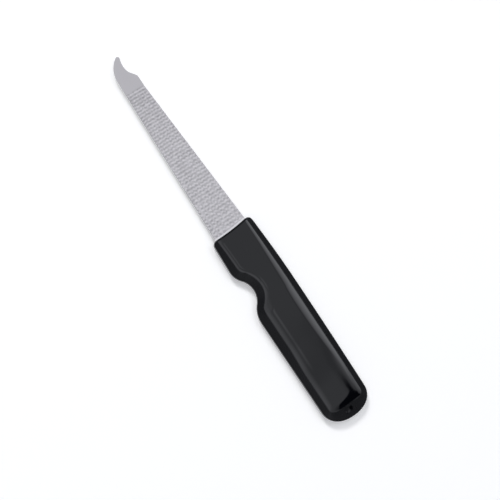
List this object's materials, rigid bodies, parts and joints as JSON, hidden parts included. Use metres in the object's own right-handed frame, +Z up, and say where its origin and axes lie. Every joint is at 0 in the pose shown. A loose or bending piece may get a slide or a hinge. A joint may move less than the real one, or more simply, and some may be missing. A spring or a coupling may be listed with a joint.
{
  "type": "nail file",
  "caption": "Nail file with a tapered steel blade, crossed file cuts on both faces, a hooked cuticle tip, and a flat moulded handle with a finger notch.",
  "frame": {"origin": "on the surface that the file lies on, under the middle of its length and width", "axes": "+X from the handle's butt towards the hooked tip, +Y towards the side with the finger notch, +Z up"},
  "size_m": [0.175, 0.0216, 0.0055],
  "materials": {
    "file_steel": "satin stainless steel, cut with file teeth",
    "handle_plastic": "glossy black moulded plastic"
  },
  "bodies": {
    "root": {"blade": "file_steel", "handle": "handle_plastic"}
  },
  "joints": []
}
